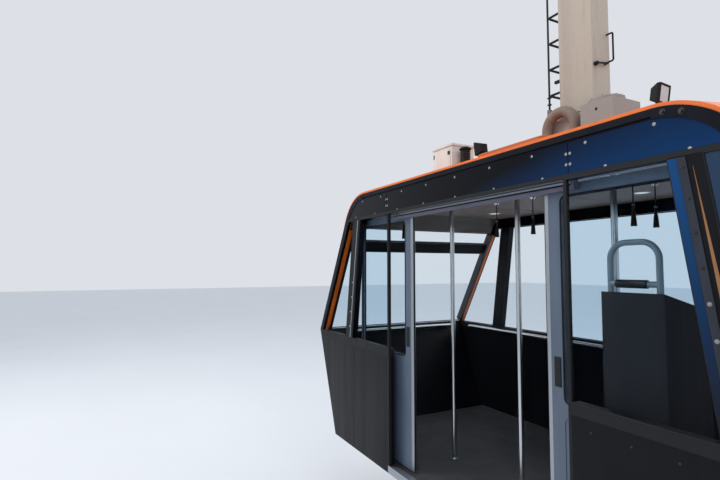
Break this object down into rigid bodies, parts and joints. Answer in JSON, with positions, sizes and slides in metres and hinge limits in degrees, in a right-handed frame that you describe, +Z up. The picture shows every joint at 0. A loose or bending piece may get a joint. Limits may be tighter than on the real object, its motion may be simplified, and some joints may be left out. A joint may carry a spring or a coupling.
{
  "type": "cable car cabin",
  "caption": "Aerial tramway cabin with sliding doors, sloping glazed ends, a straight hanger arm and a rope carriage.",
  "frame": {"origin": "on the axis of the track rope, under the middle of the carriage", "axes": "+X along the rope towards the operator's end, +Y away from the doors, +Z up"},
  "size_m": [4.7202, 1.95, 6.2901],
  "materials": {
    "roof_orange": "satin coach paint over a moulded skin",
    "accent_orange": "satin coach paint",
    "rim_navy": "satin dark navy paint",
    "frieze_black": "high gloss black panels",
    "body_black": "gloss black coach paint",
    "seal_black": "extruded rubber and black frame",
    "window_glass": "lightly tinted safety glass",
    "leaf_frame": "blue-grey painted aluminium",
    "aluminium": "brushed aluminium",
    "header_grey": "light lavender-grey cover",
    "ceiling_beige": "brown-beige laminate",
    "floor_grey": "studded floor covering on a deck",
    "steel_black": "black painted steel",
    "stainless": "brushed stainless steel tube",
    "grip_black": "moulded black plastic",
    "console_dark": "textured dark grey paint",
    "hanger_grey": "warm grey structural paint",
    "gear_grey": "grey structural paint",
    "pipe_brown": "weathered grey-brown paint",
    "box_white": "off-white enclosure paint",
    "cable_black": "black sheath",
    "wheel_iron": "machined casting with worn groove",
    "machined": "machined steel"
  },
  "bodies": {
    "carriage": {"carriage_frame": "hanger_grey", "hanger_pin": "machined", "haul_rope_clamp": "gear_grey", "rope_scrapers": "machined"},
    "rocker_1": {"rocker_1": "gear_grey"},
    "rocker_2": {"rocker_2": "gear_grey"},
    "rocker_3": {"rocker_3": "gear_grey"},
    "rocker_4": {"rocker_4": "gear_grey"},
    "wheel_1": {"wheel_1": "wheel_iron"},
    "wheel_2": {"wheel_2": "wheel_iron"},
    "wheel_3": {"wheel_3": "wheel_iron"},
    "wheel_4": {"wheel_4": "wheel_iron"},
    "wheel_5": {"wheel_5": "wheel_iron"},
    "wheel_6": {"wheel_6": "wheel_iron"},
    "wheel_7": {"wheel_7": "wheel_iron"},
    "wheel_8": {"wheel_8": "wheel_iron"},
    "door_left": {"door_left_frame": "leaf_frame", "door_left_glass": "window_glass", "door_left_nosing": "aluminium"},
    "door_right": {"door_right_frame": "leaf_frame", "door_right_glass": "window_glass", "door_right_nosing": "aluminium"},
    "cabin": {"cable_clamps": "steel_black", "ceiling_panel": "ceiling_beige", "conduit_bow": "pipe_brown", "console": "console_dark", "console_hoop": "stainless", "door_header": "header_grey", "door_rail": "aluminium", "door_threshold": "aluminium", "end_buffers": "seal_black", "end_glass": "window_glass", "end_lower_panels": "body_black", "end_pillars": "accent_orange", "end_rims": "rim_navy", "end_transoms": "seal_black", "equipment_box": "box_white", "floodlights": "steel_black", "floor_deck": "floor_grey", "frieze_panels": "frieze_black", "grab_poles": "stainless", "gutters": "rim_navy", "hand_grips": "grip_black", "handrails": "stainless", "hanger_cable": "cable_black", "hanger_column": "hanger_grey", "hanger_foot": "gear_grey", "hanger_handles": "steel_black", "hanger_steps": "steel_black", "junction_box": "gear_grey", "mullions": "seal_black", "quarter_glass": "window_glass", "roof_pedestal": "gear_grey", "roof_shell": "roof_orange", "side_glass": "window_glass", "side_lower_panels": "body_black", "side_posts": "body_black", "underframe": "steel_black", "waist_rails": "seal_black"}
  },
  "joints": [
    {"name": "hanger_swing", "type": "hinge", "parent": "carriage", "child": "cabin", "pos_m": [0, 0.375, 0.4], "axis": [0, 1, 0], "range_deg": [-20, 20]},
    {"name": "door_left_slide", "type": "slide", "parent": "cabin", "child": "door_left", "axis": [1, 0, 0], "range_m": [0, 0.665]},
    {"name": "door_right_slide", "type": "slide", "parent": "cabin", "child": "door_right", "axis": [-1, 0, 0], "range_m": [0, 0.665]},
    {"name": "rocker_1_tilt", "type": "hinge", "parent": "carriage", "child": "rocker_1", "pos_m": [-1.08, 0, 0.1995], "axis": [0, 1, 0], "range_deg": [-8, 8]},
    {"name": "rocker_2_tilt", "type": "hinge", "parent": "carriage", "child": "rocker_2", "pos_m": [-0.36, 0, 0.1995], "axis": [0, 1, 0], "range_deg": [-8, 8]},
    {"name": "rocker_3_tilt", "type": "hinge", "parent": "carriage", "child": "rocker_3", "pos_m": [0.36, 0, 0.1995], "axis": [0, 1, 0], "range_deg": [-8, 8]},
    {"name": "rocker_4_tilt", "type": "hinge", "parent": "carriage", "child": "rocker_4", "pos_m": [1.08, 0, 0.1995], "axis": [0, 1, 0], "range_deg": [-8, 8]},
    {"name": "wheel_1_turn", "type": "hinge", "parent": "rocker_1", "child": "wheel_1", "pos_m": [-1.26, 0, 0.1425], "axis": [0, 1, 0], "continuous": true},
    {"name": "wheel_2_turn", "type": "hinge", "parent": "rocker_1", "child": "wheel_2", "pos_m": [-0.9, 0, 0.1425], "axis": [0, 1, 0], "continuous": true},
    {"name": "wheel_3_turn", "type": "hinge", "parent": "rocker_2", "child": "wheel_3", "pos_m": [-0.54, 0, 0.1425], "axis": [0, 1, 0], "continuous": true},
    {"name": "wheel_4_turn", "type": "hinge", "parent": "rocker_2", "child": "wheel_4", "pos_m": [-0.18, 0, 0.1425], "axis": [0, 1, 0], "continuous": true},
    {"name": "wheel_5_turn", "type": "hinge", "parent": "rocker_3", "child": "wheel_5", "pos_m": [0.18, 0, 0.1425], "axis": [0, 1, 0], "continuous": true},
    {"name": "wheel_6_turn", "type": "hinge", "parent": "rocker_3", "child": "wheel_6", "pos_m": [0.54, 0, 0.1425], "axis": [0, 1, 0], "continuous": true},
    {"name": "wheel_7_turn", "type": "hinge", "parent": "rocker_4", "child": "wheel_7", "pos_m": [0.9, 0, 0.1425], "axis": [0, 1, 0], "continuous": true},
    {"name": "wheel_8_turn", "type": "hinge", "parent": "rocker_4", "child": "wheel_8", "pos_m": [1.26, 0, 0.1425], "axis": [0, 1, 0], "continuous": true}
  ],
  "couplings": [
    {"joint": "door_right_slide", "follows": "door_left_slide", "ratio": 1}
  ]
}
